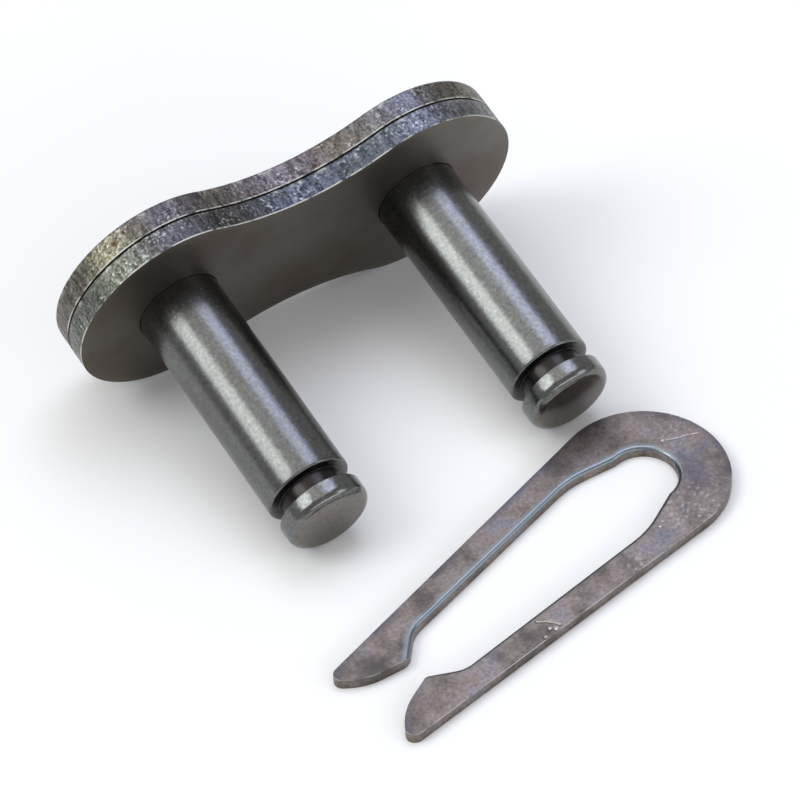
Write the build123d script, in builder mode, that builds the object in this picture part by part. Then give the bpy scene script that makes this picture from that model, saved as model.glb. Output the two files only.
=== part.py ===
"""Spring-clip connecting link for a 5/8 inch roller chain, lying as it comes to rest.

The link lies tipped forward on its two pin tips and the lower front edge of the loose
cover plate, which is pushed back against the pin plate. The spring clip is off and
lies flat on the same surface in front of the tips. Millimetres, +Z up, +X along the
pitch, origin on the surface under the middle of the whole layout.
"""

import os
from math import acos, asin, atan2, cos, degrees, hypot, radians, sin

from build123d import *

# ---- link plates ----
pitch = 15.875  # pin centre to pin centre, 5/8 inch
plate_r = 6.35  # round ends
waist = 9.5  # height across the narrow middle
plate_t = 1.45
plate_gap = 0.02  # between the two plates at rest
chain_room = 13.95  # between the plates when the link is closed: the inner link and its play
slip_fit = 0.04  # radial clearance of the pins in the cover plate
press_bite = 0.01  # radial interference of the pins in the pin plate
roll_over = 0.25  # rounded edge on the side where the die entered
burr_break = 0.05  # edge left on the other side
hole_break = 0.12  # bevel of the cover's holes at the front

# ---- pins ----
pin_r = 2.54
groove_w = 1.05  # for the clip, outside the cover plate of a closed link
groove_depth = 0.62
collar_t = 1.3  # tip beyond the groove
tip_round = 0.55
groove_bevel = 0.13  # on the shank side of the groove
collar_bevel = 0.07  # on the other side
head_lip = 0.26  # how far the riveted end behind the pin plate spreads
head_t = 0.5
head_bevel = 0.25

# ---- spring clip, drawn from the centre of its closed end ----
clip_t = 0.65
clip_play = 0.03  # radial, between the closed end and the pin's neck
bow_band = 2.95  # width of the band round the closed end
throat_step = 0.1  # straight lip at each side of the closed end's circle
shoulder_x = 3.0  # widest place of the slot, behind the closed end
slot_swell = 0.9  # how much wider than the neck the slot is there, each side
hook_play = 0.95  # from the held pin's centre to where each hook starts
arm_lag = 0.12  # the rear arm's hook stands this much nearer the bow, the front one's further
hook_run = 1.65  # length of a hook's flank along the clip
hook_bite = 1.17  # how far each hook reaches in past the neck
lead_run = 2.65  # first part of the guiding flank outside the hook
lead_rise = 0.7
end_run = 1.55  # second part, up to the arm's end
end_rise = 1.68
corner_run = 1.6  # where the inner and the outer cut of the blank meet
corner_rise = 0.15
throat_round, shoulder_round, recess_round = 0.5, 6.0, 1.9
hook_round, lead_round, end_round = 0.85, 3.9, 0.5
clip_roll = 0.25  # rounded upper edge along the slot, as far as the hooks
clip_turn = 14.6  # degrees, seen from above
bow_aside = 1.0  # closed end's centre, right of the right pin's centre line
bow_clear = 0.08  # closed end, in front of the tips

# ---- worked out from the sizes above ----
neck_r = pin_r - groove_depth
head_r = pin_r + head_lip
groove_start = 2 * plate_t + chain_room  # from the back of the pin plate
groove_end = groove_start + groove_w
pin_end = groove_end + collar_t
cover_back = plate_t + plate_gap
cover_front = cover_back + plate_t

# The link leans on the cover's lower front edge and on the round of the tips.
rest_edge = (cover_front - burr_break, -plate_r)
tip_centre = (pin_end - tip_round, tip_round - pin_r)
along, up = tip_centre[0] - rest_edge[0], tip_centre[1] - rest_edge[1]
lean = atan2(up, along) - asin(tip_round / hypot(along, up))
link_z = rest_edge[0] * sin(lean) - rest_edge[1] * cos(lean)
plate_behind = (plate_r - roll_over) * sin(lean) + roll_over * (1 - cos(lean))
head_behind = (head_r - head_bevel) * sin(lean) + head_t * cos(lean)
link_back = max(plate_behind, head_behind)
tips_ahead = tip_centre[0] * cos(lean) - tip_centre[1] * sin(lean) + tip_round

# Two concave arcs join the round ends of a plate at its waist.
waist_r = ((pitch / 2) ** 2 + (waist / 2) ** 2 - plate_r**2) / (2 * plate_r - waist)
waist_y = waist / 2 + waist_r
lobe_end = degrees(atan2(waist_y, -pitch / 2))

bow_in = neck_r + clip_play
bow_out = bow_in + bow_band
bow_ahead = tips_ahead + bow_clear + bow_out
hook_x = pitch + hook_play


def hook_start(side):
    """Where a hook leaves its arm, on one side (1 or -1) of the clip's centre line."""
    return (side * arm_lag - hook_x, side * (neck_r + clip_play))


def hook_nose(side):
    """The furthest point of a hook into the slot."""
    return (hook_start(side)[0] - hook_run, side * (neck_r - hook_bite))


def clip_half(side):
    """Edges of the clip's outline on one side of its centre line."""
    nose = hook_nose(side)
    lead = (nose[0] - lead_run, nose[1] + side * lead_rise)
    end = (lead[0] - end_run, lead[1] + side * end_rise)
    corner = (end[0] + corner_run, end[1] + side * corner_rise)
    tangent = degrees(atan2(abs(corner[1]), corner[0]) - acos(bow_out / hypot(*corner)))
    CenterArc((0, 0), bow_in, 0, side * 90)
    FilletPolyline(
        (0, side * bow_in),
        (-throat_step, side * bow_in),
        (-shoulder_x, side * (neck_r + slot_swell)),
        hook_start(side),
        nose,
        radius=[throat_round, shoulder_round, recess_round],
    )
    FilletPolyline(nose, lead, end, corner, radius=[lead_round, end_round])
    outer = CenterArc((0, 0), bow_out, side * tangent, -side * tangent)
    Line(corner, outer @ 0)


with BuildSketch() as clip_face:
    with BuildLine():
        clip_half(1)
        clip_half(-1)
    make_face()

with BuildSketch() as clip_blank:
    add(clip_face.sketch)
    noses = [vertices().sort_by_distance(hook_nose(side))[0] for side in (1, -1)]
    fillet(noses, hook_round)

clip_reach = -clip_face.sketch.rotate(Axis.Z, clip_turn).bounding_box().min.Y
middle = (link_back - bow_ahead - clip_reach) / 2

# The link's own plane: X along the pitch, Z from the back of the pin plate to the tips.
link = Plane(origin=(0, -middle, link_z), x_dir=(1, 0, 0), z_dir=(0, -cos(lean), -sin(lean)))
pin_way = Axis(link.origin, link.z_dir)
bow_spot = (pitch / 2 + bow_aside, -middle - bow_ahead, 0)
clip_lies = Plane(origin=bow_spot, x_dir=(cos(radians(clip_turn)), sin(radians(clip_turn)), 0))


with BuildSketch() as plate_face:
    with BuildLine():
        CenterArc((pitch / 2, 0), plate_r, 0, lobe_end)
        CenterArc((0, waist_y), waist_r, -lobe_end, 2 * lobe_end - 180)
        CenterArc((-pitch / 2, 0), plate_r, 180 - lobe_end, lobe_end)
        mirror(about=Plane.XZ)
    make_face()

# Half section of a pin: radius to the right, length from the back of the pin plate up.
with BuildSketch() as pin_half:
    with BuildLine():
        Line((0, pin_end), (pin_r - tip_round, pin_end))
        CenterArc((pin_r - tip_round, pin_end - tip_round), tip_round, 90, -90)
        Polyline(
            (pin_r, pin_end - tip_round),
            (pin_r, groove_end + collar_bevel),
            (pin_r - collar_bevel, groove_end),
            (neck_r, groove_end),
            (neck_r, groove_start),
            (pin_r - groove_bevel, groove_start),
            (pin_r, groove_start - groove_bevel),
            (pin_r, 0),
            (head_r, 0),
            (head_r, head_bevel - head_t),
            (head_r - head_bevel, -head_t),
            (0, -head_t),
            (0, pin_end),
        )
    make_face()


def dress_edges(plate):
    """Round a plate's rim at the back and break it at the front."""
    back = plate.faces().filter_by(GeomType.PLANE).sort_by(pin_way)[0]
    fillet(back.outer_wire().edges(), roll_over)
    front = plate.faces().filter_by(GeomType.PLANE).sort_by(pin_way)[-1]
    chamfer(front.outer_wire().edges(), burr_break)


def pin_base(x):
    """Where a pin's centre line meets the back of the pin plate."""
    return link.from_local_coords((x, 0, 0))


with BuildPart() as pin_plate:
    with BuildSketch(link):
        add(plate_face.sketch)
        with GridLocations(pitch, 0, 2, 1):
            Circle(pin_r - press_bite, mode=Mode.SUBTRACT)
    extrude(amount=plate_t)
    dress_edges(pin_plate)

with BuildPart() as cover_plate:
    with BuildSketch(link.offset(cover_back)):
        add(plate_face.sketch)
        with GridLocations(pitch, 0, 2, 1):
            Circle(pin_r + slip_fit, mode=Mode.SUBTRACT)
    extrude(amount=plate_t)
    dress_edges(cover_plate)
    front = faces().filter_by(GeomType.PLANE).sort_by(pin_way)[-1]
    chamfer(front.inner_wires().edges(), hole_break)

with BuildPart() as pin_left:
    with BuildSketch(Plane(pin_base(-pitch / 2), link.x_dir, -link.y_dir)):
        add(pin_half.sketch)
    revolve(axis=Axis(pin_base(-pitch / 2), link.z_dir))

with BuildPart() as pin_right:
    with BuildSketch(Plane(pin_base(pitch / 2), link.x_dir, -link.y_dir)):
        add(pin_half.sketch)
    revolve(axis=Axis(pin_base(pitch / 2), link.z_dir))

with BuildPart() as spring_clip:
    with BuildSketch(clip_lies):
        add(clip_face.sketch)
    extrude(amount=clip_t)
    # The slot's edge is drawn down as far as the hooks, where the next cut ends it; the
    # round runs on by itself from the bow's arc. Rounding the noses comes last.
    rim = faces().sort_by(Axis.Z)[-1].outer_wire().edges()
    slot_arc = rim.filter_by(GeomType.CIRCLE).filter_by(lambda e: abs(e.radius - bow_in) < 1e-6)
    fillet(slot_arc, clip_roll)
    with BuildSketch(clip_lies):
        add(clip_blank.sketch)
    extrude(amount=clip_t, mode=Mode.INTERSECT)

pin_plate.part.label = "pin_plate"
cover_plate.part.label = "cover_plate"
pin_left.part.label = "pin_left"
pin_right.part.label = "pin_right"
spring_clip.part.label = "spring_clip"

os.makedirs("parts", exist_ok=True)
export_step(pin_plate.part, "parts/pin_plate.step")
export_step(cover_plate.part, "parts/cover_plate.step")
export_step(pin_left.part, "parts/pin_left.step")
export_step(pin_right.part, "parts/pin_right.step")
export_step(spring_clip.part, "parts/spring_clip.step")
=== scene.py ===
"""Looks of a spring-clip connecting link for a roller chain.

Two punched link plates, two turned pins and the flat spring clip, lying as they come to
rest. Everything is in metres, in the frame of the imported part. The link is modelled in
its own plane: X along the pitch, Y towards its upper side, Z from the back of the pin
plate to the pin tips.
"""

import math

import bmesh
import bpy
from bpy.props import FloatProperty, FloatVectorProperty, PointerProperty
from mathutils import Matrix, Vector, kdtree, noise


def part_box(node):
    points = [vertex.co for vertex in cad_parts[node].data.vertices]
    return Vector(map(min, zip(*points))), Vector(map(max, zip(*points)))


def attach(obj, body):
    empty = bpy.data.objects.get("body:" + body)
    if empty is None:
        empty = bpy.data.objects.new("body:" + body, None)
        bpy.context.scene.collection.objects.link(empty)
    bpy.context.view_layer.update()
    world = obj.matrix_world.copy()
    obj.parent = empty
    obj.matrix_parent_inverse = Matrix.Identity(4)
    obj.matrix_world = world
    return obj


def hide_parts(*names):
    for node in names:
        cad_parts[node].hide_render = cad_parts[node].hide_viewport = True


bl_info = {
    "name": "Chain connecting link",
    "version": (1, 0, 0),
    "blender": (4, 5, 0),
    "location": "3D View > Sidebar > Connecting link",
    "description": "Plates, pins and spring clip of a roller chain's connecting link",
    "category": "Add Mesh",
}

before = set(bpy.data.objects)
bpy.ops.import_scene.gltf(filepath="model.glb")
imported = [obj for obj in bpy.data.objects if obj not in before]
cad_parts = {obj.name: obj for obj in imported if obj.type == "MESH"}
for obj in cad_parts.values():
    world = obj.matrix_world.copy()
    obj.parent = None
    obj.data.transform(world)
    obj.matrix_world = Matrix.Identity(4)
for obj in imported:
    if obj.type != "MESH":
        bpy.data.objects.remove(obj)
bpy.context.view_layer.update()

LEAN = math.radians(13.520188)
LINK_AXES = (
    (1.0, 0.0, 0.0, 0.0),
    (0.0, -math.sin(LEAN), -math.cos(LEAN), 0.015657205),
    (0.0, math.cos(LEAN), -math.sin(LEAN), 0.006844998),
    (0.0, 0.0, 0.0, 1.0),
)
LINK_PLACE = Matrix(LINK_AXES)
RIM_STEP = 0.00005  # spacing of the rim's points, fine enough for its torn streaks
RIM_BAND = 0.0006  # flat band inside the rim's edges
RIM_WALL_CUTS = 22  # across the rim's thickness, about as fine as its step
ROLL_SEGMENTS, BURR_SEGMENTS = 7, 3
HOLE_STEPS, PIN_STEPS = 64, 160  # of half a hole's turn, and of a pin's whole turn
SHANK_CUTS = 30  # along a pin's shank, so that the painted shade in front of the plates can thin out on it
HOLE_ZONE = 0.004  # nearer than this to a pin's centre, the wall belongs to a hole
GROOVE_LIP, GROOVE_FLOOR, COLLAR_LIP = 0.00013, 0.00006, 0.00007  # rounds of the groove
LARGE_ROUND = 0.0002  # rounds over this size take twice the segments
SHARP_ANGLE = math.radians(38)  # edges that turn more than this stay sharp
CUT_ANGLE = 1  # the blank's cut edges turn more than this, in radians
HAIR = 1e-6  # heights closer than this are the same
MERGE = 1e-7  # points closer than this are one
TO_MM = 1000
MM = 0.001
AIM = Vector((-0.000693, 0.001283, 0.004))  # what the camera and the lamps point at
CAMERA_ANGLES = ((-30.3047, "Z"), (90 - 45.6897, "X"), (-3.3421, "Z"))  # degrees, in turn
SENSOR_MM, LENS_MM = 36, 189.54
# Rusted pits on the rims: along the pitch, from the plate's back, and radius, in mm.
RUST_SPOTS = {
    "pin_plate": (
        (-2.3, 1.3, 0.17),
        (-1.9, 1.32, 0.1),
        (1.7, 1.2, 0.2),
        (-11.1, 0.75, 0.24),
        (-10.4, 0.5, 0.13),
        (8.9, 0.5, 0.14),
    ),
    "cover_plate": ((-9.8, 0.3, 0.13), (-1.2, 0.3, 0.09)),
}
# Chips in the clip's upper face: place, radius, depth (all mm) and how bare the steel is.
CHIPS = (
    (-1.69, -14.92, 0.14, 0.05, 0.9),
    (-1.43, -15.13, 0.16, 0.05, 1.0),
    (-2.22, -15.29, 0.15, 0.05, 0.6),
    (11.26, -7.0, 0.1, 0.03, 0.8),
    (7.4, -12.24, 0.1, 0.02, 0.8),
    (7.75, -12.0, 0.07, 0.02, 0.6),
)
# Scratches: points, half width, depth and how bare the steel is.
SCRATCHES = (
    (((-2.0, -14.12), (-1.6, -14.35), (-1.25, -14.7), (-1.06, -14.98)), 0.09, 0.04, 0.5),
    (((11.5, -7.1), (12.2, -7.35), (12.52, -7.38), (13.2, -7.62)), 0.06, 0.02, 0.2),
)
# Dark stains on the clip, one of them a painted shade and reflection of the right pin's tip, and
# places where its temper shows blue: place, radius, strength.
STAINS_AND_SHADE = (
    (-11.2, -11.9, 1.5, 0.75),
    (-12.4, -11.3, 0.9, 0.5),
    (-6.2, -8.6, 0.8, 0.55),
    (-2.3, -7.4, 0.6, 0.35),
    # Painted shade and reflection of the right pin's tip on the clip.
    (5.2, -5.2, 1.1, 0.5),
    (-5.0, -15.1, 0.7, 0.7),
    (-2.9, -14.8, 0.8, 0.6),
    (1.3, -14.2, 0.6, 0.45),
    (4.4, -13.4, 0.7, 0.5),
    (13.1, -9.7, 0.8, 0.4),
    (8.6, -3.9, 2.4, 0.24),
    (12.0, -5.2, 2.4, 0.16),
)
BLUE_SPOTS = ((11.2, -10.4, 2.3, 0.62), (12.9, -8.6, 0.8, 0.5), (7.2, -12.6, 0.8, 0.25))
# Speckled with small bare points: place and radius.
SPECKLED = ((9.8, -12.0, 2.5), (12.4, -5.6, 2.0), (4.9, -13.8, 1.1))
# Nicks in the front arm's outer edge: place, radius and depth.
NICKS = ((2.67, -14.9, 0.3, 0.08), (-6.81, -16.5, 0.28, 0.07))


def srgb(code):
    """Linear RGB of an sRGB hex colour."""
    parts = [int(code[i : i + 2], 16) / 255 for i in (1, 3, 5)]
    return [c / 12.92 if c <= 0.04045 else ((c + 0.055) / 1.055) ** 2.4 for c in parts]


def length(name, description, millimetres):
    """A length setting, given in millimetres."""
    return FloatProperty(
        name=name, description=description, default=millimetres / 1000, unit="LENGTH", precision=5
    )


def colour(name, description, code):
    """A colour setting, given in sRGB hex."""
    return FloatVectorProperty(
        name=name, description=description, default=srgb(code), subtype="COLOR", min=0, max=1
    )


class PlateSettings(bpy.types.PropertyGroup):
    pitch: length("Pitch", "Pin centre to pin centre", 15.875)
    end_radius: length("End radius", "Radius of a plate's round ends", 6.35)
    waist: length("Waist", "Height across the narrow middle", 9.5)
    thickness: length("Thickness", "Thickness of one plate", 1.45)
    gap: length("Gap", "Between the two plates", 0.02)
    roll: length("Roll-over", "Round on the side where the die entered", 0.2)
    burr: length("Burr edge", "Edge left on the other side", 0.05)
    hole_clearance: length("Hole clearance", "Radial play that the grease leaves open", 0.01)
    hole_bevel: length("Hole bevel", "Bevel of the cover's holes at the front", 0.03)
    tear_depth: length("Tear depth", "Depth of the torn streaks on the punched rim", 0.035)
    face_colour: colour("Face colour", "Oiled face of the plate steel", "#67625a")
    rust_colour: colour("Rust colour", "Rust in the pits of the punched rim", "#4a3426")
    # The burr colour also paints the highlight along the front burr and the back roll.
    burr_and_highlight_colour: colour("Burr colour", "Bare burr along the punched rim", "#cbcac2")


class PinSettings(bpy.types.PropertyGroup):
    radius: length("Radius", "Full radius of a pin", 2.54)
    groove_start: length("Groove start", "From the back of the pin plate", 16.85)
    groove_width: length("Groove width", "Groove for the clip", 1.05)
    groove_depth: length("Groove depth", "Radial depth of the groove", 0.62)
    collar: length("Collar", "Tip beyond the groove", 1.3)
    tip_round: length("Tip round", "Round of the tip's edge", 0.55)
    head_lip: length("Head lip", "How far the riveted end spreads", 0.26)
    head_height: length("Head height", "Height of the riveted end", 0.5)
    steel_colour: colour("Steel colour", "Hardened and tumbled pin steel", "#727371")
    # This colour also paints the shade in the groove, in front of the plates and on the left
    # pin's shank.
    grease_and_shade_colour: colour("Grease colour", "Black grease left in the groove", "#33302f")


class ClipSettings(bpy.types.PropertyGroup):
    grid: length("Grid", "Spacing of the cuts that carry nicks, stains and bands", 0.16)
    cut_edge: length("Cut edge", "Break of the edge where the blank was cut", 0.03)
    turn: FloatProperty(
        name="Turn",
        description="How far the clip lies turned, seen from above",
        default=math.radians(14.6),
        unit="ROTATION",
    )
    steel_colour: colour("Steel colour", "Tempered spring steel", "#827973")
    # The stain colour also paints the shade and reflection of the right pin's tip.
    stain_and_shade_colour: colour("Stain colour", "Dark stains on the spring steel", "#4b4947")
    temper_colour: colour("Temper colour", "Blue temper band on the spring steel", "#4f5060")


class StageSettings(bpy.types.PropertyGroup):
    camera_distance: length("Camera distance", "From the camera to the aimed point", 233.686)
    floor_size: length("Floor size", "Side of the square floor", 3000)
    floor_colour: colour("Floor colour", "Plain pale floor", "#fbfaf8")


class LinkSettings(bpy.types.PropertyGroup):
    plates: PointerProperty(type=PlateSettings)
    pins: PointerProperty(type=PinSettings)
    clip: PointerProperty(type=ClipSettings)
    stage: PointerProperty(type=StageSettings)


# ---- materials ----


def add_node(tree, kind, inputs=None, stops=None, **settings):
    """Adds a node, sets its properties and ramp stops (a hex or a setting's colour each), and
    fills its inputs with values or outputs."""
    node = tree.nodes.new(kind)
    for name, value in settings.items():
        setattr(node, name, value)
    if stops:
        ramp, places = node.color_ramp.elements, sorted(stops)
        ramp[0].position, ramp[-1].position = places[0], places[-1]
        for place in places[1:-1]:
            ramp.new(place)
        for element, place in zip(ramp, places):
            stop = stops[place]
            element.color = (*(srgb(stop) if isinstance(stop, str) else stop), 1)
    for socket, value in (inputs or {}).items():
        if isinstance(value, bpy.types.NodeSocket):
            tree.links.new(value, node.inputs[socket])
        else:
            node.inputs[socket].default_value = value
    return node


def per_mm(size):
    """Noise scale for features of this size in millimetres, on coordinates in metres."""
    return 1000 / size


def new_material(name):
    """An empty node material with its output."""
    material = bpy.data.materials.new(name)
    material.use_nodes = True
    material.node_tree.nodes.clear()
    return material, material.node_tree


def link_coordinates(tree, stretch=(1, 1, 1)):
    """Object coordinates turned into the link's own plane, then stretched."""
    place = add_node(tree, "ShaderNodeTexCoord").outputs["Object"]
    turned = add_node(
        tree,
        "ShaderNodeMapping",
        {"Vector": place, "Rotation": (math.pi / 2 + LEAN, 0, 0)},
        vector_type="TEXTURE",
    )
    scaled = add_node(
        tree, "ShaderNodeMapping", {"Vector": turned.outputs[0], "Scale": stretch}
    )
    return scaled.outputs[0]


def steel_for_plate_faces(settings):
    """Rolled carbon steel, hardened and oiled: dark, satin, with soft brown oil clouds and a fine
    grain, and a painted reflection of the lit floor that makes it lighter towards the right-hand
    lobe's lower edge. The grain is drawn at 0.12 mm, coarser than the steel's own."""
    material, tree = new_material("Hardened oiled plate steel")
    place = link_coordinates(tree)
    clouds = add_node(
        tree, "ShaderNodeTexNoise", {"Vector": place, "Scale": per_mm(6), "Detail": 4.0}
    )
    grain = add_node(
        tree, "ShaderNodeTexNoise", {"Vector": place, "Scale": per_mm(0.12), "Detail": 3.0}
    )
    tone = add_node(
        tree,
        "ShaderNodeValToRGB",
        {"Fac": clouds.outputs["Fac"]},
        stops={0.36: "#61574f", 0.5: settings.face_colour, 0.64: "#6f6c65"},
    )
    # Painted reflection of the lit floor: the face is lighter towards the right-hand lobe's lower
    # edge.
    towards_lobe = add_node(
        tree, "ShaderNodeVectorMath", {0: place, 1: (0.8, -0.6, 0)}, operation="DOT_PRODUCT"
    ).outputs["Value"]
    painted_floor_reflection = add_node(
        tree,
        "ShaderNodeMapRange",
        {"Value": towards_lobe, "From Max": 0.011, "To Min": 0.97, "To Max": 1.22},
    ).outputs["Result"]
    fine = add_node(
        tree,
        "ShaderNodeMapRange",
        {"Value": grain.outputs["Fac"], "From Min": 0.3, "From Max": 0.7}
        | {"To Min": 0.88, "To Max": 1.12},
    ).outputs["Result"]
    shade = add_node(tree, "ShaderNodeMath", {0: painted_floor_reflection, 1: fine}, operation="MULTIPLY")
    coloured = add_node(
        tree,
        "ShaderNodeMix",
        {"Factor": 1.0, "A": tone.outputs["Color"], "B": shade.outputs[0]},
        data_type="RGBA",
        blend_type="MULTIPLY",
    ).outputs["Result"]
    rough = add_node(
        tree,
        "ShaderNodeMapRange",
        {"Value": grain.outputs["Fac"], "To Min": 0.36, "To Max": 0.5},
    )
    bump = add_node(
        tree,
        "ShaderNodeBump",
        {"Height": grain.outputs["Fac"], "Distance": 0.000004, "Strength": 0.5},
    )
    shader = add_node(
        tree,
        "ShaderNodeBsdfPrincipled",
        {
            "Base Color": coloured,
            "Metallic": 1.0,
            "Roughness": rough.outputs["Result"],
            "Normal": bump.outputs["Normal"],
        },
    )
    add_node(tree, "ShaderNodeOutputMaterial", {"Surface": shader.outputs[0]})
    return material


def steel_for_torn_rim(settings, name, tints, ridge_highlight_strength, ridge_highlight_colour):
    """Punched edge of the plate steel: painted highlights of thin torn ridges shine out of a dark
    ground, in groups, and the ground's temper colours change along the rim. Rust sits in a few
    pits. A bright line runs at the burr: bare burr with a painted highlight along the front, and
    a painted highlight along the back roll. The grains (0.17 mm) and the slanted flutes (0.3 mm)
    are drawn coarser than real."""
    material, tree = new_material(name)
    place = link_coordinates(tree)
    slanted = add_node(
        tree,
        "ShaderNodeMapping",
        {"Vector": place, "Rotation": (0, 0.3, 0), "Scale": (1, 1, 0.24)},
    ).outputs[0]
    along = add_node(tree, "ShaderNodeSeparateXYZ", {"Vector": place}).outputs["X"]
    drift = add_node(
        tree, "ShaderNodeTexNoise", {"Vector": place, "Scale": per_mm(0.9), "Detail": 3.0}
    ).outputs["Fac"]
    spread = add_node(
        tree,
        "ShaderNodeMath",
        {0: drift, 1: 0.0032, 2: -0.0016},
        operation="MULTIPLY_ADD",
    ).outputs[0]
    shifted = add_node(tree, "ShaderNodeMath", {0: along, 1: spread}, operation="ADD").outputs[0]
    share = add_node(
        tree,
        "ShaderNodeMapRange",
        {"Value": shifted, "From Min": -0.0143, "From Max": 0.0143},
    ).outputs["Result"]
    ground = add_node(tree, "ShaderNodeValToRGB", {"Fac": share}, stops=tints).outputs["Color"]
    # How strong the painted ridge highlights are along the rim.
    strength = add_node(
        tree, "ShaderNodeValToRGB", {"Fac": share}, stops=ridge_highlight_strength
    ).outputs["Color"]
    grains = add_node(
        tree,
        "ShaderNodeTexNoise",
        {"Vector": place, "Scale": per_mm(0.17), "Detail": 2.0, "Roughness": 0.6},
    ).outputs["Fac"]
    flutes = add_node(
        tree,
        "ShaderNodeTexNoise",
        {"Vector": slanted, "Scale": per_mm(0.3), "Detail": 3.0, "Roughness": 0.6},
    ).outputs["Fac"]
    mixed = add_node(tree, "ShaderNodeMath", {0: grains, 1: flutes}, operation="ADD").outputs[0]
    shade = add_node(
        tree,
        "ShaderNodeMapRange",
        {"Value": mixed, "From Min": 0.78, "From Max": 1.22, "To Min": 0.5, "To Max": 1.9},
    ).outputs["Result"]
    speckled = add_node(
        tree,
        "ShaderNodeMix",
        {"Factor": 1.0, "A": ground, "B": shade},
        data_type="RGBA",
        blend_type="MULTIPLY",
    ).outputs["Result"]
    ridges = add_node(
        tree,
        "ShaderNodeTexNoise",
        {"Vector": slanted, "Scale": per_mm(0.36), "Detail": 0.0, "Distortion": 0.5},
        noise_type="RIDGED_MULTIFRACTAL",
    ).outputs["Fac"]
    thin = add_node(
        tree,
        "ShaderNodeMapRange",
        {"Value": ridges, "From Min": 0.79, "From Max": 0.91},
    ).outputs["Result"]
    crowding = add_node(
        tree,
        "ShaderNodeMath",
        {0: strength, 1: 0.16, 2: drift},
        operation="MULTIPLY_ADD",
    ).outputs[0]
    groups = add_node(
        tree,
        "ShaderNodeMapRange",
        {"Value": crowding, "From Min": 0.57, "From Max": 0.68, "To Max": 0.8},
    ).outputs["Result"]
    glinting_grains = add_node(
        tree,
        "ShaderNodeMapRange",
        {"Value": grains, "From Min": 0.56, "From Max": 0.68},
    ).outputs["Result"]
    grouped = add_node(
        tree, "ShaderNodeMath", {0: glinting_grains, 1: groups}, operation="MULTIPLY"
    ).outputs[0]
    spaced = add_node(
        tree,
        "ShaderNodeMapRange",
        {"Value": crowding, "From Min": 0.46, "From Max": 0.58, "To Max": 0.85},
    ).outputs["Result"]
    lines = add_node(tree, "ShaderNodeMath", {0: thin, 1: spaced}, operation="MULTIPLY")
    # Painted highlights of the torn ridges and of bright grains, in groups along the rim.
    ridge_highlight = add_node(
        tree, "ShaderNodeMath", {0: grouped, 1: lines.outputs[0]}, operation="MAXIMUM"
    )
    highlighted = add_node(
        tree,
        "ShaderNodeMix",
        {"Factor": ridge_highlight.outputs[0], "A": speckled, "B": (*srgb(ridge_highlight_colour), 1)},
        data_type="RGBA",
    ).outputs["Result"]
    rust = add_node(tree, "ShaderNodeAttribute", attribute_name="rust").outputs["Fac"]
    rusty = add_node(
        tree,
        "ShaderNodeMix",
        {"Factor": rust, "A": highlighted, "B": (*settings.rust_colour, 1)},
        data_type="RGBA",
    ).outputs["Result"]
    # burr: bare burr with a painted highlight along the front, and a painted highlight along the
    # back roll.
    burr = add_node(tree, "ShaderNodeAttribute", attribute_name="burr").outputs["Fac"]
    edged = add_node(
        tree,
        "ShaderNodeMix",
        {"Factor": burr, "A": rusty, "B": (*settings.burr_and_highlight_colour, 1)},
        data_type="RGBA",
    ).outputs["Result"]
    bump = add_node(
        tree,
        "ShaderNodeBump",
        {"Height": mixed, "Distance": 0.00003, "Strength": 0.8},
    )
    shader = add_node(
        tree,
        "ShaderNodeBsdfPrincipled",
        {
            "Base Color": edged,
            "Metallic": 1.0,
            "Roughness": 0.42,
            "Normal": bump.outputs["Normal"],
        },
    )
    add_node(tree, "ShaderNodeOutputMaterial", {"Surface": shader.outputs[0]})
    return material


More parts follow.
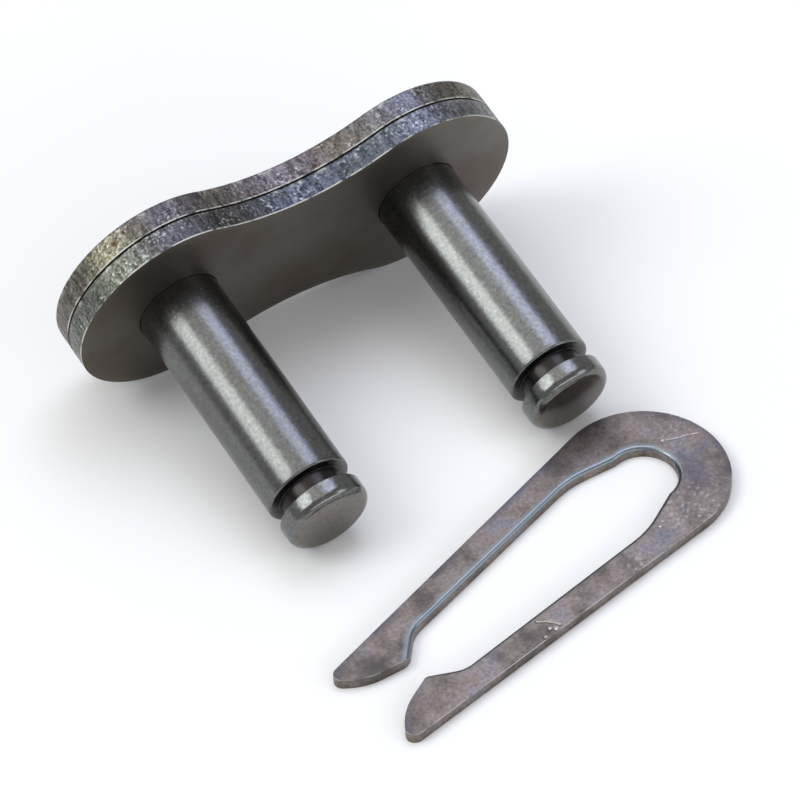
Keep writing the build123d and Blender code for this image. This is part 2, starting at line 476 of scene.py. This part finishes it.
def steel_for_pins(settings):
    """Hardened and tumbled alloy steel: satin, with a soft mottle that frays the gloss, drawn at
    0.2 mm and so coarser than real. Black grease with painted shade darkens the groove, painted
    shade darkens the shank in front of the cover and thins out along it, and on the left pin
    painted shade dims the whole shank; the collar is rubbed smoother, and the ground end is
    browner."""
    material, tree = new_material("Hardened tumbled pin steel")
    place = link_coordinates(tree)
    mottle = add_node(
        tree,
        "ShaderNodeTexNoise",
        {"Vector": place, "Scale": per_mm(0.2), "Detail": 3.0, "Roughness": 0.6},
    ).outputs["Fac"]
    tone = add_node(
        tree,
        "ShaderNodeValToRGB",
        {"Fac": mottle},
        stops={0.3: "#626261", 0.45: "#6c6d6b", 0.55: settings.steel_colour, 0.7: "#7e7f7c"},
    ).outputs["Color"]
    # Grease with painted shade in the groove, painted shade in front of the plates and on the
    # left pin's whole shank.
    grease_and_shade = add_node(tree, "ShaderNodeAttribute", attribute_name="grease_and_shade").outputs["Fac"]
    greased_and_shaded = add_node(
        tree,
        "ShaderNodeMix",
        {"Factor": grease_and_shade, "A": tone, "B": (*settings.grease_and_shade_colour, 1)},
        data_type="RGBA",
    ).outputs["Result"]
    ground = add_node(tree, "ShaderNodeAttribute", attribute_name="ground").outputs["Fac"]
    grit = add_node(
        tree,
        "ShaderNodeMapRange",
        {"Value": mottle, "From Min": 0.3, "From Max": 0.7, "To Min": 0.78, "To Max": 1.22},
    ).outputs["Result"]
    end_face = add_node(
        tree,
        "ShaderNodeMix",
        {"Factor": 1.0, "A": (*srgb("#77726c"), 1), "B": grit},
        data_type="RGBA",
        blend_type="MULTIPLY",
    ).outputs["Result"]
    ended = add_node(
        tree,
        "ShaderNodeMix",
        {"Factor": ground, "A": greased_and_shaded, "B": end_face},
        data_type="RGBA",
    ).outputs["Result"]
    rubbed = add_node(tree, "ShaderNodeAttribute", attribute_name="rubbed").outputs["Fac"]
    smooth = add_node(
        tree,
        "ShaderNodeMapRange",
        {"Value": rubbed, "To Min": 0.25, "To Max": 0.21},
    ).outputs["Result"]
    rough = add_node(
        tree,
        "ShaderNodeMath",
        {0: mottle, 1: 0.12, 2: smooth},
        operation="MULTIPLY_ADD",
    ).outputs[0]
    rougher = add_node(tree, "ShaderNodeMath", {0: rough, 1: 0.06}, operation="SUBTRACT")
    bump = add_node(
        tree,
        "ShaderNodeBump",
        {"Height": mottle, "Distance": 0.000005, "Strength": 0.6},
    )
    shader = add_node(
        tree,
        "ShaderNodeBsdfPrincipled",
        {
            "Base Color": ended,
            "Metallic": 1.0,
            "Roughness": rougher.outputs[0],
            "Normal": bump.outputs["Normal"],
        },
    )
    add_node(tree, "ShaderNodeOutputMaterial", {"Surface": shader.outputs[0]})
    return material


def steel_for_clip(settings):
    """Tempered spring steel: brown-mauve oxide in soft patches with bluish ones between, dark
    stains with a painted shade and reflection of the right pin's tip among them, a blue-violet
    temper band along the cut edges, a painted pale highlight on the roll and on a band of the top
    beside it, bare steel in the chips and a broken bright line on the cut edge. The grain is
    drawn at 0.22 mm, coarser than real."""
    material, tree = new_material("Tempered spring steel")
    place = add_node(tree, "ShaderNodeTexCoord").outputs["Object"]
    patches = add_node(
        tree,
        "ShaderNodeTexNoise",
        {"Vector": place, "Scale": per_mm(2.1), "Detail": 6.0, "Roughness": 0.6},
    ).outputs["Fac"]
    tone = add_node(
        tree,
        "ShaderNodeValToRGB",
        {"Fac": patches},
        stops={
            0.33: "#625b59",
            0.42: "#736b66",
            0.5: settings.steel_colour,
            0.57: "#8a807d",
            0.64: "#868184",
            0.72: "#7c7d82",
        },
    ).outputs["Color"]
    grain = add_node(
        tree,
        "ShaderNodeTexNoise",
        {"Vector": place, "Scale": per_mm(0.22), "Detail": 4.0, "Roughness": 0.7},
    ).outputs["Fac"]
    shade = add_node(
        tree,
        "ShaderNodeMapRange",
        {"Value": grain, "From Min": 0.3, "From Max": 0.7, "To Min": 0.66, "To Max": 1.34},
    ).outputs["Result"]
    grained = add_node(
        tree,
        "ShaderNodeMix",
        {"Factor": 1.0, "A": tone, "B": shade},
        data_type="RGBA",
        blend_type="MULTIPLY",
    ).outputs["Result"]
    edge = add_node(tree, "ShaderNodeAttribute", attribute_name="edge").outputs["Fac"]
    # Dark stains, and a painted shade and reflection of the right pin's tip.
    stain_and_shade = add_node(tree, "ShaderNodeAttribute", attribute_name="stain_and_shade").outputs["Fac"]
    stained_and_shaded = add_node(
        tree,
        "ShaderNodeMix",
        {"Factor": stain_and_shade, "A": grained, "B": (*settings.stain_and_shade_colour, 1)},
        data_type="RGBA",
    ).outputs["Result"]
    banded = add_node(
        tree,
        "ShaderNodeMix",
        {"Factor": edge, "A": stained_and_shaded, "B": (*settings.temper_colour, 1)},
        data_type="RGBA",
    ).outputs["Result"]
    # Painted pale highlight on the roll's upward-facing part and on a band of the top beside it.
    roll = add_node(tree, "ShaderNodeAttribute", attribute_name="roll").outputs["Fac"]
    roll_highlighted = add_node(
        tree,
        "ShaderNodeMix",
        {"Factor": roll, "A": banded, "B": (*srgb("#838b90"), 1)},
        data_type="RGBA",
    ).outputs["Result"]
    bare = add_node(tree, "ShaderNodeAttribute", attribute_name="bare").outputs["Fac"]
    chipped = add_node(
        tree,
        "ShaderNodeMix",
        {"Factor": bare, "A": roll_highlighted, "B": (*srgb("#c9c6bf"), 1)},
        data_type="RGBA",
    ).outputs["Result"]
    burr = add_node(tree, "ShaderNodeAttribute", attribute_name="burr").outputs["Fac"]
    edged = add_node(
        tree,
        "ShaderNodeMix",
        {"Factor": burr, "A": chipped, "B": (*srgb("#a9a6a4"), 1)},
        data_type="RGBA",
    ).outputs["Result"]
    rough = add_node(
        tree, "ShaderNodeMapRange", {"Value": roll, "To Min": 0.38, "To Max": 0.3}
    ).outputs["Result"]
    bump = add_node(
        tree, "ShaderNodeBump", {"Height": grain, "Distance": 0.000012, "Strength": 0.7}
    )
    shader = add_node(
        tree,
        "ShaderNodeBsdfPrincipled",
        {
            "Base Color": edged,
            "Metallic": 1.0,
            "Roughness": rough,
            "Normal": bump.outputs["Normal"],
        },
    )
    add_node(tree, "ShaderNodeOutputMaterial", {"Surface": shader.outputs[0]})
    return material


def pale_floor(settings):
    """Matt pale board."""
    material, tree = new_material("Matt pale board")
    shader = add_node(
        tree,
        "ShaderNodeBsdfPrincipled",
        {"Base Color": (*settings.floor_colour, 1), "Roughness": 0.9, "Specular IOR Level": 0.1},
    )
    add_node(tree, "ShaderNodeOutputMaterial", {"Surface": shader.outputs[0]})
    return material


# ---- shapes ----


def wire(bm, points):
    """An open wire through these points: its vertices and its edges."""
    corners = [bm.verts.new(point) for point in points]
    return corners, [bm.edges.new(ends) for ends in zip(corners, corners[1:])]


def round_corner(bm, corner, radius, segments):
    """Rounds one corner of a wire whose sides meet at a right angle there."""
    bmesh.ops.bevel(
        bm,
        geom=[corner],
        offset=radius,
        segments=segments,
        profile=0.5,
        affect="VERTICES",
        material=-1,
    )


def keep_piece(bm, name, node, body, materials):
    """Makes the finished mesh a piece that stands for a CAD node and rides on its body."""
    bmesh.ops.remove_doubles(bm, verts=bm.verts[:], dist=MERGE)
    bmesh.ops.recalc_face_normals(bm, faces=bm.faces[:])
    for edge in bm.edges:
        edge.smooth = edge.calc_face_angle(0) < SHARP_ANGLE
    for face in bm.faces:
        face.smooth = True
    mesh = bpy.data.meshes.new(name)
    bm.to_mesh(mesh)
    bm.free()
    for material in materials:
        mesh.materials.append(material)
    piece = bpy.data.objects.new(name, mesh)
    bpy.context.scene.collection.objects.link(piece)
    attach(piece, body)
    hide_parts(node)


def rim_wire(bm, plates, back):
    """Section of a plate's rim at the end of a lobe, from the back face to the front one."""
    reach = plates.pitch / 2 + plates.end_radius
    front = back + plates.thickness
    points = [
        (reach - RIM_BAND, 0, back),
        (reach, 0, back),
        (reach, 0, front),
        (reach - RIM_BAND, 0, front),
    ]
    corners, _ = wire(bm, points)
    round_corner(bm, corners[1], plates.roll, ROLL_SEGMENTS)
    round_corner(bm, corners[2], plates.burr, BURR_SEGMENTS)
    wall = [e for e in bm.edges if e.calc_length() > 0.5 * plates.thickness and e.is_wire]
    bmesh.ops.subdivide_edges(bm, edges=wall, cuts=RIM_WALL_CUTS)
    beyond = reach - 2 * RIM_BAND
    verts = [v for v in bm.verts if v.co.x > beyond]
    return verts + [e for e in bm.edges if e.verts[0].co.x > beyond]


def plate_shape(plates, back, hole_radius, hole_bevel):
    """A waisted link plate with its two pin holes, in the link's own plane. Half a hole and
    a quarter of the rim are spun, and the mirrors make the rest of both."""
    bm = bmesh.new()
    half = plates.pitch / 2
    front = back + plates.thickness
    edge = half + hole_radius
    hole = [(edge, 0, back), (edge, 0, front - hole_bevel), (edge + hole_bevel, 0, front)]
    corners, edges = wire(bm, hole)
    bmesh.ops.spin(
        bm,
        geom=corners + edges,
        cent=(half, 0, 0),
        axis=(0, 0, 1),
        angle=math.pi,
        steps=HOLE_STEPS,
        use_merge=False,
    )
    waist_radius = (half**2 + (plates.waist / 2) ** 2 - plates.end_radius**2) / (
        2 * plates.end_radius - plates.waist
    )
    waist_y = plates.waist / 2 + waist_radius
    lobe = math.atan2(waist_y, -half)
    chain = rim_wire(bm, plates, back)
    for centre, turn, radius in (
        ((half, 0, 0), lobe, plates.end_radius),
        ((0, waist_y, 0), math.pi / 2 - lobe, waist_radius),
    ):
        made = bmesh.ops.spin(
            bm,
            geom=chain,
            cent=centre,
            axis=(0, 0, math.copysign(1, turn)),
            angle=abs(turn),
            steps=round(abs(turn) * radius / RIM_STEP),
            use_merge=False,
        )
        chain = made["geom_last"]
    for axis in "XY":
        everything = bm.verts[:] + bm.edges[:] + bm.faces[:]
        bmesh.ops.mirror(bm, geom=everything, merge_dist=HAIR, axis=axis)
    bmesh.ops.remove_doubles(bm, verts=bm.verts[:], dist=HAIR)
    for height in (back, front):
        rims = [e for e in bm.edges if e.is_boundary and abs(e.verts[0].co.z - height) < MERGE]
        bmesh.ops.triangle_fill(bm, edges=rims, use_beauty=True, use_dissolve=False)
    bmesh.ops.recalc_face_normals(bm, faces=bm.faces[:])
    return bm


def ramp(value, low, high):
    """0 below low, 1 above high, straight in between."""
    return min(1, max(0, (value - low) / (high - low)))


def torn(place):
    """Height of the torn steel, 0 to 1, at a place in millimetres: slanted flutes across the
    thickness with thin ridges on them in loose groups, and small scales between."""
    x, y, z = place
    # Scales are turns per millimetre; the slant is 0.36 along for 1 across. noise_vector's
    # offset is unseeded and comes from the clock, so the marks differ from run to run.
    bend = noise.noise_vector(place * 1.9) * 0.14
    x, y = x + bend.x - 0.36 * z, y + bend.y
    flutes = noise.noise(Vector((x * 3.4, y * 3.4, z * 0.8)))
    ridges = ramp(abs(noise.noise(Vector((x * 2.6, y * 2.6, z * 0.9 + 5)))), 0.14, 0.0)
    groups = ramp(noise.noise(Vector((x * 0.6, y * 0.6, z * 0.5 + 3))), -0.3, 0.25)
    scales = noise.noise(Vector((x * 8.5, y * 8.5, z * 7)))
    return 0.45 + 0.3 * flutes + 0.35 * ridges * groups + 0.55 * scales


def tear_rim(bm, plates, back, rust_spots):
    """Roughens the punched wall, and notes per point where rust sits, where bare burr with a
    painted highlight runs along the front, and where a painted highlight runs along the back
    roll.
    """
    burr = bm.verts.layers.float.new("burr")
    rust = bm.verts.layers.float.new("rust")
    front = back + plates.thickness
    half = plates.pitch / 2
    for face in bm.faces:
        face.material_index = 1 if abs(face.normal.z) < 0.9 else 0
    pushes = []
    for v in bm.verts:
        from_pin = math.hypot(abs(v.co.x) - half, v.co.y)
        if from_pin < HOLE_ZONE or abs(v.normal.z) > 0.98:
            continue
        place = v.co * TO_MM
        height = torn(place)
        wall = ramp(v.co.z, back + 0.3 * plates.roll, back + 0.9 * plates.roll) * ramp(
            v.co.z, front - 1.5 * plates.burr, front - 3 * plates.burr
        )
        wavy = 0.5 + noise.noise(place * 1.3) + 0.5 * noise.noise(place * 5)
        # Bare burr with a painted highlight along the front, and a painted highlight along the
        # back roll.
        along_front = ramp(v.co.z, front - 1.7 * plates.burr, front - 0.9 * plates.burr)
        back_roll_highlight = 0.6 * ramp(v.co.z, back + 2 * plates.roll, back + 0.6 * plates.roll)
        v[burr] = max(along_front * ramp(wavy, 0.1, 0.6), back_roll_highlight * ramp(wavy, 0.7, 1.1))
        if v.co.y > 0:
            for x, deep, radius in rust_spots:
                reach = math.hypot(place.x - x, (place.z - back * TO_MM - deep) * 0.8)
                v[rust] = max(v[rust], ramp(reach, radius, radius * 0.3))
        pushes.append((v, plates.tear_depth * (min(1, max(0, height)) - 1) * wall))
    for v, push in pushes:
        v.co += v.normal * push


def pin_shape(pins, x, shank_shade):
    """A pin with its riveted head, groove and collar, in the link's own plane. Its points note
    the grease with painted shade in the groove, the painted shade in front of the plates, the
    rubbed collar and the ground end; the last argument is the share, 0 to 1, of painted shade
    that lies on the whole shank."""
    bm = bmesh.new()
    groove_end = pins.groove_start + pins.groove_width
    end = groove_end + pins.collar
    neck = pins.radius - pins.groove_depth
    head = pins.radius + pins.head_lip
    outline = [
        (0, -pins.head_height, 0),
        (head, -pins.head_height, pins.head_lip * 0.9),
        (head, 0, 0),
        (pins.radius, 0, 0),
        (pins.radius, pins.groove_start, GROOVE_LIP),
        (neck, pins.groove_start, GROOVE_FLOOR),
        (neck, groove_end, GROOVE_FLOOR),
        (pins.radius, groove_end, COLLAR_LIP),
        (pins.radius, end, pins.tip_round),
        (0, end, 0),
    ]
    corners, _ = wire(bm, [(x + radius, 0, height) for radius, height, _ in outline])
    for corner, (_, _, rounding) in zip(corners, outline):
        if rounding:
            round_corner(bm, corner, rounding, 8 if rounding > LARGE_ROUND else 4)
    bmesh.ops.spin(
        bm,
        geom=bm.verts[:] + bm.edges[:],
        cent=(x, 0, 0),
        axis=(0, 0, 1),
        angle=2 * math.pi,
        steps=PIN_STEPS,
        use_merge=True,
    )
    # Only the shank's own lines are longer than 10 mm.
    shank = [e for e in bm.edges if e.calc_length() > 0.01]
    bmesh.ops.subdivide_edges(bm, edges=shank, cuts=SHANK_CUTS)
    grease_and_shade = bm.verts.layers.float.new("grease_and_shade")
    ground = bm.verts.layers.float.new("ground")
    rubbed = bm.verts.layers.float.new("rubbed")
    for v in bm.verts:
        reach = math.hypot(v.co.x - x, v.co.y)
        # In the groove: grease, with painted shade deeper in the recess.
        if pins.groove_start - HAIR < v.co.z < groove_end + HAIR:
            v[grease_and_shade] = ramp(reach, pins.radius - 0.00005, neck + 0.0002)
        elif v.co.z < pins.groove_start:
            # Painted shade in front of the plates thins out between 2.5 and 6.2 mm along the pin;
            # the whole shank keeps at least the painted shade share given as the last argument.
            v[grease_and_shade] = max(shank_shade, 0.4 * ramp(v.co.z, 0.0062, 0.0025))
        v[rubbed] = ramp(v.co.z, groove_end, groove_end + 0.0002)
        v[ground] = ramp(v.co.z, end - 0.00012, end - 0.00002)
    return bm


def near_line(place, line):
    """How far a place is from a line of points, all in mm."""
    nearest = 1e9
    for start, end in zip(line, line[1:]):
        run = end - start
        share = min(1, max(0, (place - start).dot(run) / run.length_squared))
        nearest = min(nearest, (place - start - run * share).length)
    return nearest


def clip_shape(clip):
    """The clip's CAD shape with its cut edge broken, cut into a fine grid."""
    bm = bmesh.new()
    bm.from_mesh(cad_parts["spring_clip"].data)
    bmesh.ops.remove_doubles(bm, verts=bm.verts[:], dist=MERGE)
    low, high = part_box("spring_clip")
    roll = bm.verts.layers.float.new("roll")
    for v in bm.verts:
        v[roll] = 1 if 1e-5 < v.co.z < high.z - HAIR else 0
    upper = [e for e in bm.edges if min(v.co.z for v in e.verts) > high.z - HAIR]
    cut = [e for e in upper if e.calc_face_angle(0) > CUT_ANGLE]
    bmesh.ops.bevel(
        bm,
        geom=cut,
        offset=clip.cut_edge,
        segments=1,
        profile=0.5,
        affect="EDGES",
        material=-1,
    )
    for axis in (0, 1):
        normal = Vector((0, 0, 0))
        normal[axis] = 1
        cuts = int((high[axis] - low[axis]) / clip.grid)
        for i in range(1, cuts):
            bmesh.ops.bisect_plane(
                bm,
                geom=bm.verts[:] + bm.edges[:] + bm.faces[:],
                plane_co=low + normal * (i * clip.grid),
                plane_no=normal,
                dist=MERGE,
            )
    return bm


def finder(verts):
    """A search tree over these vertices' places."""
    places = kdtree.KDTree(len(verts))
    for i, v in enumerate(verts):
        places.insert(v.co, i)
    places.balance()
    return places


def wear_clip(bm, clip):
    """Chips, scratches and nicks, what each point shows (temper band, painted highlight of the
    roll, stains with a painted shade and reflection of the right pin's tip, and bare steel) and
    which faces of the broken edge shine."""
    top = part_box("spring_clip")[1].z - HAIR
    marks = [([Vector((x, y)), Vector((x + 0.01, y))], r, d, b) for x, y, r, d, b in CHIPS]
    marks += [([Vector(p) for p in line], r, d, b) for line, r, d, b in SCRATCHES]
    for _ in range(2):
        fine = []
        for e in bm.edges:
            middle = (e.verts[0].co + e.verts[1].co).xy * (TO_MM / 2)
            if e.calc_length() > 0.00005 and e.verts[0].co.z > top and e.verts[1].co.z > top:
                if min(near_line(middle, line) - r for line, r, _, _ in marks) < 0.1:
                    fine.append(e)
        bmesh.ops.subdivide_edges(bm, edges=fine, cuts=1, use_grid_fill=True)
    bmesh.ops.triangulate(bm, faces=[f for f in bm.faces if len(f.verts) > 4])
    burr = bm.faces.layers.float.new("burr")
    for face in bm.faces:
        tilt = face.normal.z
        if 0.5 < tilt < 0.9 and face.normal.y < 0.3 and face.calc_center_median().z > top - 4e-5:
            if min(v.co.z for v in face.verts) > top - 1.1 * clip.cut_edge:
                face[burr] = ramp(noise.noise(face.calc_center_median() * 900), -0.35, 0.15)
    edge = bm.verts.layers.float.new("edge")
    bare = bm.verts.layers.float.new("bare")
    stain_and_shade = bm.verts.layers.float.new("stain_and_shade")
    roll = bm.verts.layers.float["roll"]
    sharp = [e for e in bm.edges if e.calc_face_angle(0) > 0.6]
    cut = {v for e in sharp for v in e.verts if v.co.z > top and v.normal.y > -0.1}
    # Roll points facing the front: the painted highlight band on the top is measured from them.
    rubbed = {v for v in bm.verts if v[roll] and v.normal.y < -0.02}
    cuts, rolls = finder(cut), finder(rubbed)
    inward = Vector((-math.sin(clip.turn), math.cos(clip.turn), 0))
    for v in bm.verts:
        place = v.co * TO_MM
        # The roll keeps its painted highlight only where it faces up; where it faces away it gets
        # the temper band.
        if v[roll] and v.normal.y > 0.15:
            v[edge], v[roll] = 0.7, 0
        elif v[roll]:
            v[roll] *= ramp(v.normal.z, 0.15, 0.6)
        if v.co.z > top:
            from_cut, from_roll = cuts.find(v.co)[2], rolls.find(v.co)[2]
            v[edge] = 0.7 * ramp(from_cut, 0.0005, 0.00003) * ramp(
                noise.noise(place * 0.5), -0.5, 0.2
            )
            # A painted highlight band on the top beside the roll widens the roll's highlight.
            v[roll] = 0.8 * ramp(from_roll, 0.00028, 0.0001) * ramp(
                noise.noise(place * 0.7), -0.7, 0.1
            )
            for x, y, radius in SPECKLED:
                share = ramp(math.hypot(place.x - x, place.y - y), radius, radius * 0.5)
                v[bare] = max(v[bare], 0.5 * share * ramp(noise.noise(place * 6.3), 0.2, 0.55))
            for line, radius, depth, share in marks:
                reach = near_line(place.xy, line)
                if reach < radius:
                    v.co.z -= depth * MM * (1 - (reach / radius) ** 2)
                    v[bare] = max(v[bare], share * ramp(reach, radius, radius * 0.4))
        wander = 1 + 0.9 * noise.noise(place * 0.9) + 0.5 * noise.noise(place * 3)
        # Stains, one of them a painted shade and reflection of the right pin's tip.
        for x, y, radius, strength in STAINS_AND_SHADE:
            reach = math.hypot(place.x - x, place.y - y) * wander
            v[stain_and_shade] = max(v[stain_and_shade], strength * ramp(reach, radius, radius * 0.2))
        for x, y, radius, strength in BLUE_SPOTS:
            reach = math.hypot(place.x - x, place.y - y) * wander
            v[edge] = max(v[edge], strength * ramp(reach, radius, 0))
        for x, y, radius, depth in NICKS:
            reach = math.hypot(place.x - x, place.y - y)
            if reach < radius:
                v.co += inward * (depth * MM * (1 - reach / radius))


# ---- operators ----


class LINK_OT_plates(bpy.types.Operator):
    """Adds the two punched link plates"""

    bl_idname = "connecting_link.plates"
    bl_label = "Link plates"

    def execute(self, context):
        plates = context.scene.connecting_link.plates
        pins = context.scene.connecting_link.pins
        faces = steel_for_plate_faces(plates)
        rims = {
            "pin_plate": steel_for_torn_rim(
                plates,
                "Torn rim with brown temper",
                {
                    0.02: "#5f5c55",
                    0.1: "#6d6958",
                    0.2: "#57545a",
                    0.34: "#5b5650",
                    0.5: "#615b5f",
                    0.62: "#5e5850",
                    0.76: "#63656d",
                    0.88: "#645d53",
                    0.98: "#6f6c63",
                },
                # Strength of the painted ridge highlights along the rim, then their colour.
                {0.02: "#909090", 0.1: "#ffffff", 0.2: "#a8a8a8", 0.34: "#b4b4b4"}
                | {0.5: "#dcdcdc", 0.62: "#a0a0a0", 0.76: "#f8f8f8", 0.9: "#a8a8a8"},
                "#bdb7ab",
            ),
            "cover_plate": steel_for_torn_rim(
                plates,
                "Torn rim with blue temper",
                {
                    0.02: "#62645e",
                    0.1: "#67685c",
                    0.2: "#535359",
                    0.34: "#4b4945",
                    0.46: "#4d5057",
                    0.62: "#4e5259",
                    0.76: "#5b5f68",
                    0.88: "#69696b",
                    0.98: "#6e6e68",
                },
                # Strength of the painted ridge highlights along the rim, then their colour.
                {0.02: "#9c9c9c", 0.1: "#ffffff", 0.2: "#c8c8c8", 0.34: "#b8b8b8"}
                | {0.5: "#c0c0c0", 0.64: "#d8d8d8", 0.76: "#ffffff", 0.9: "#b0b0b0"},
                "#b8bcba",
            ),
        }
        rows = (
            ("pin_plate", "link", 0.0, pins.radius, 0.0),
            (
                "cover_plate",
                "cover",
                plates.thickness + plates.gap,
                pins.radius + plates.hole_clearance,
                plates.hole_bevel,
            ),
        )
        for node, body, back, hole, bevel in rows:
            bm = plate_shape(plates, back, hole, bevel)
            tear_rim(bm, plates, back, RUST_SPOTS[node])
            bmesh.ops.transform(bm, matrix=LINK_PLACE, verts=bm.verts[:])
            keep_piece(bm, node + "_punched", node, body, [faces, rims[node]])
        return {"FINISHED"}


class LINK_OT_pins(bpy.types.Operator):
    """Adds the two grooved pins"""

    bl_idname = "connecting_link.pins"
    bl_label = "Grooved pins"

    def execute(self, context):
        pins = context.scene.connecting_link.pins
        half = context.scene.connecting_link.plates.pitch / 2
        steel = steel_for_pins(pins)
        # The left pin's whole shank gets a painted shade that dims its highlight.
        for node, x, shank_shade in (("pin_left", -half, 0.13), ("pin_right", half, 0.0)):
            bm = pin_shape(pins, x, shank_shade)
            bmesh.ops.transform(bm, matrix=LINK_PLACE, verts=bm.verts[:])
            keep_piece(bm, node + "_turned", node, "link", [steel])
        return {"FINISHED"}


class LINK_OT_clip(bpy.types.Operator):
    """Adds the flat spring clip"""

    bl_idname = "connecting_link.clip"
    bl_label = "Spring clip"

    def execute(self, context):
        clip = context.scene.connecting_link.clip
        bm = clip_shape(clip)
        wear_clip(bm, clip)
        steel = steel_for_clip(clip)
        keep_piece(bm, "spring_clip_worn", "spring_clip", "link", [steel])
        return {"FINISHED"}


class LINK_OT_stage(bpy.types.Operator):
    """Adds the floor, the lights and the camera"""

    bl_idname = "connecting_link.stage"
    bl_label = "Stage"

    def execute(self, context):
        stage = context.scene.connecting_link.stage
        bm = bmesh.new()
        bmesh.ops.create_grid(bm, x_segments=1, y_segments=1, size=stage.floor_size / 2)
        mesh = bpy.data.meshes.new("floor")
        bm.to_mesh(mesh)
        bm.free()
        mesh.materials.append(pale_floor(stage))
        floor = bpy.data.objects.new("floor", mesh)
        context.scene.collection.objects.link(floor)

        world = bpy.data.worlds.new("Studio air")
        context.scene.world = world
        world.use_nodes = True
        world.node_tree.nodes["Background"].inputs["Color"].default_value = (0.98, 0.985, 1, 1)
        world.node_tree.nodes["Background"].inputs["Strength"].default_value = 0.46

        # Each lamp: the way to it, how far, its size in metres, watts and colour.
        lamps = (
            ("warm softbox", (-0.678, 0.266, 0.686), 0.6, (0.34, 0.34), 1.12, "#f6fbfb"),
            ("cool softbox", (0.374, 0.214, 0.903), 0.6, (0.32, 0.32), 0.6, "#cdd5ff"),
            ("low front softbox", (0.657, -0.568, 0.495), 0.6, (0.24, 0.24), 0.3, "#e8f0ff"),
            ("front strip", (0.1, -0.93, 0.34), 0.6, (1.1, 0.16), 0.9, "#f4f7ff"),
            ("overhead panel", (-0.02, 0.33, 0.94), 0.7, (0.9, 0.9), 1.75, "#ffffff"),
        )
        for name, way, distance, size, power, code in lamps:
            lamp = bpy.data.lights.new(name, "AREA")
            lamp.shape = "ELLIPSE"
            lamp.size, lamp.size_y = size
            lamp.energy = power
            lamp.color = srgb(code)
            body = bpy.data.objects.new(name, lamp)
            body.location = AIM + Vector(way).normalized() * distance
            body.rotation_mode = "QUATERNION"
            body.rotation_quaternion = (-Vector(way)).to_track_quat("-Z", "Y")
            body.visible_camera = False
            context.scene.collection.objects.link(body)

        lens = bpy.data.cameras.new("camera")
        lens.sensor_width = SENSOR_MM
        lens.lens = LENS_MM
        lens.clip_start = 0.01
        lens.clip_end = 10
        camera = bpy.data.objects.new("camera", lens)
        turn = Matrix()
        for degrees, axis in CAMERA_ANGLES:
            turn = turn @ Matrix.Rotation(math.radians(degrees), 4, axis)
        away = turn @ Vector((0, 0, stage.camera_distance))
        camera.matrix_world = Matrix.Translation(AIM + away) @ turn
        context.scene.collection.objects.link(camera)
        context.scene.camera = camera
        context.scene.view_settings.view_transform = "Standard"
        return {"FINISHED"}


class LINK_PT_panel(bpy.types.Panel):
    """Sizes, colours and pieces of the connecting link"""

    bl_idname = "LINK_PT_panel"
    bl_label = "Connecting link"
    bl_space_type = "VIEW_3D"
    bl_region_type = "UI"
    bl_category = "Connecting link"

    def draw(self, context):
        settings = context.scene.connecting_link
        for operator, part in (
            ("connecting_link.stage", settings.stage),
            ("connecting_link.plates", settings.plates),
            ("connecting_link.pins", settings.pins),
            ("connecting_link.clip", settings.clip),
        ):
            box = self.layout.box()
            box.operator(operator)
            for name in part.bl_rna.properties.keys():
                if name not in ("rna_type", "name"):
                    box.prop(part, name)


CLASSES = (
    PlateSettings,
    PinSettings,
    ClipSettings,
    StageSettings,
    LinkSettings,
    LINK_OT_plates,
    LINK_OT_pins,
    LINK_OT_clip,
    LINK_OT_stage,
    LINK_PT_panel,
)


def register():
    for cls in CLASSES:
        bpy.utils.register_class(cls)
    bpy.types.Scene.connecting_link = PointerProperty(type=LinkSettings)


def unregister():
    del bpy.types.Scene.connecting_link
    for cls in reversed(CLASSES):
        bpy.utils.unregister_class(cls)


def main():
    register()
    bpy.ops.connecting_link.stage()
    bpy.ops.connecting_link.plates()
    bpy.ops.connecting_link.pins()
    bpy.ops.connecting_link.clip()


if __name__ == "__main__":
    main()
